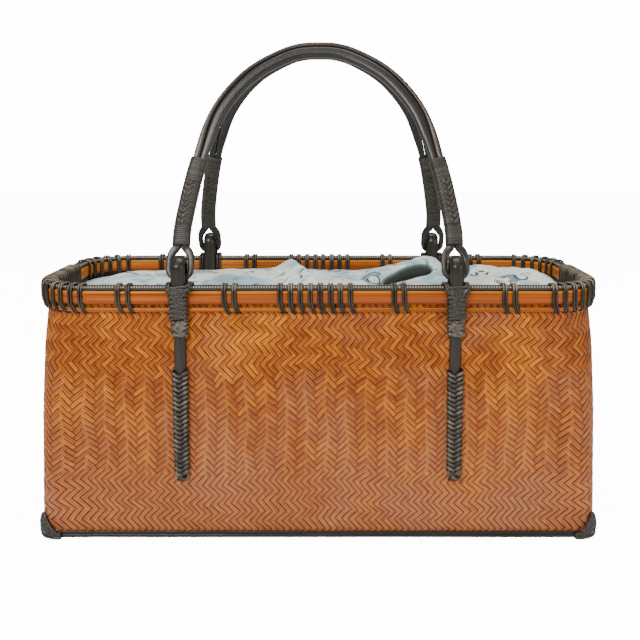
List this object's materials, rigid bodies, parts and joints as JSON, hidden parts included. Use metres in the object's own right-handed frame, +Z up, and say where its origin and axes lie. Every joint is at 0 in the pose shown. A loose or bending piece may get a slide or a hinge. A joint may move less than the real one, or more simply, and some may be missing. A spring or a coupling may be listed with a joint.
{
  "type": "basket bag",
  "caption": "Woven bamboo basket handbag with lashed rim, corner feet, hinged double cane handles and a cloth pouch inside.",
  "frame": {"origin": "centre of the box on the floor, under the middle of the basket", "axes": "+X along the basket to the right, +Y to the back, +Z up"},
  "size_m": [0.3048, 0.1268, 0.2672],
  "materials": {
    "woven_bamboo": "smoked bamboo strips in a herringbone weave, satin",
    "rim_bamboo": "glossy split bamboo",
    "dark_cane": "dark stained cane, satin",
    "handle_cane": "dark stained cane, polished by use",
    "dark_rattan": "dark stained rattan strands, glossy on their backs",
    "pouch_cloth": "thin pale blue-grey cloth with small dark motifs"
  },
  "bodies": {
    "basket": {"basket_shell": "woven_bamboo", "rim_outer_band": "rim_bamboo", "rim_inner_band": "rim_bamboo", "rim_cap": "dark_cane", "lower_strip": "rim_bamboo", "base_rail": "dark_cane", "pouch": "pouch_cloth", "lashing_front_left_outer": "dark_rattan", "lashing_front_left_inner": "dark_rattan", "lashing_front_middle": "dark_rattan", "lashing_front_right_inner": "dark_rattan", "lashing_front_right_outer": "dark_rattan", "lashing_front_left": "dark_rattan", "front_left_strut": "dark_cane", "front_left_rim_knot": "dark_rattan", "front_left_second_knot": "dark_rattan", "front_left_braid_tie": "dark_rattan", "front_left_foot": "dark_rattan", "lashing_front_right": "dark_rattan", "front_right_strut": "dark_cane", "front_right_rim_knot": "dark_rattan", "front_right_second_knot": "dark_rattan", "front_right_braid_tie": "dark_rattan", "front_right_foot": "dark_rattan", "lashing_back_left_outer": "dark_rattan", "lashing_back_left_inner": "dark_rattan", "lashing_back_middle": "dark_rattan", "lashing_back_right_inner": "dark_rattan", "lashing_back_right_outer": "dark_rattan", "lashing_back_left": "dark_rattan", "back_left_strut": "dark_cane", "back_left_rim_knot": "dark_rattan", "back_left_second_knot": "dark_rattan", "back_left_braid_tie": "dark_rattan", "back_left_foot": "dark_rattan", "lashing_back_right": "dark_rattan", "back_right_strut": "dark_cane", "back_right_rim_knot": "dark_rattan", "back_right_second_knot": "dark_rattan", "back_right_braid_tie": "dark_rattan", "back_right_foot": "dark_rattan", "lashing_left_end": "dark_rattan", "lashing_right_end": "dark_rattan"},
    "front_handle": {"front_left_grip": "dark_rattan", "front_right_grip": "dark_rattan", "front_handle_cane": "handle_cane"},
    "back_handle": {"back_left_grip": "dark_rattan", "back_right_grip": "dark_rattan", "back_handle_cane": "handle_cane"}
  },
  "joints": [
    {"name": "front_handle_swing", "type": "hinge", "parent": "basket", "child": "front_handle", "pos_m": [0, -0.055, 0.141], "axis": [1, 0, 0], "range_deg": [0, 110]},
    {"name": "back_handle_swing", "type": "hinge", "parent": "basket", "child": "back_handle", "pos_m": [0, 0.055, 0.141], "axis": [-1, 0, 0], "range_deg": [0, 110]}
  ]
}
